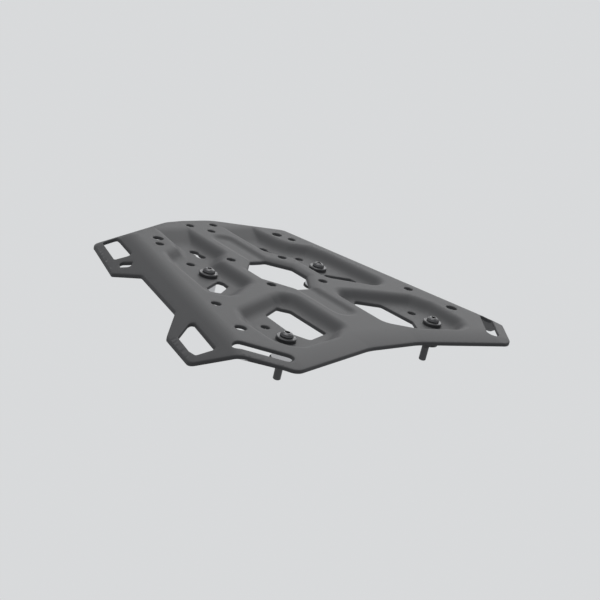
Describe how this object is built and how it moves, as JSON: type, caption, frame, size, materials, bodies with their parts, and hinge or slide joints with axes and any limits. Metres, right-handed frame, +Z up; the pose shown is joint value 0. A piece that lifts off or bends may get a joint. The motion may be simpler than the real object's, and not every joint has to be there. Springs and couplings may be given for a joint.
{
  "type": "motorcycle luggage rack",
  "caption": "Pressed aluminium luggage rack plate with strap eyes, strap slots and mounting holes, on spaced screws, for the tail of a motorcycle.",
  "frame": {"origin": "under the middle of the plate's outline, at the height of the screw tips", "axes": "+X toward the front of the motorcycle, +Y to its left, +Z up, square to the flat deck"},
  "size_m": [0.2998, 0.3268, 0.0395],
  "materials": {
    "powder_coat": "matte dark grey powder coat",
    "black_screw": "black zinc",
    "black_anodised": "black anodised",
    "spacer_metal": "plain turned",
    "pad_nylon": "matte"
  },
  "bodies": {
    "root": {"rack_plate": "powder_coat", "screw_rear_right": "black_screw", "ring_rear_right": "black_screw", "collar_rear_right": "black_anodised", "spacer_rear_right": "spacer_metal", "pad_rear_right": "pad_nylon", "screw_rear_left": "black_screw", "ring_rear_left": "black_screw", "collar_rear_left": "black_anodised", "spacer_rear_left": "spacer_metal", "pad_rear_left": "pad_nylon", "screw_front_right": "black_screw", "ring_front_right": "black_screw", "collar_front_right": "black_anodised", "spacer_front_right": "spacer_metal", "pad_front_right": "pad_nylon", "screw_front_left": "black_screw", "ring_front_left": "black_screw", "collar_front_left": "black_anodised", "spacer_front_left": "spacer_metal", "pad_front_left": "pad_nylon"}
  },
  "joints": []
}
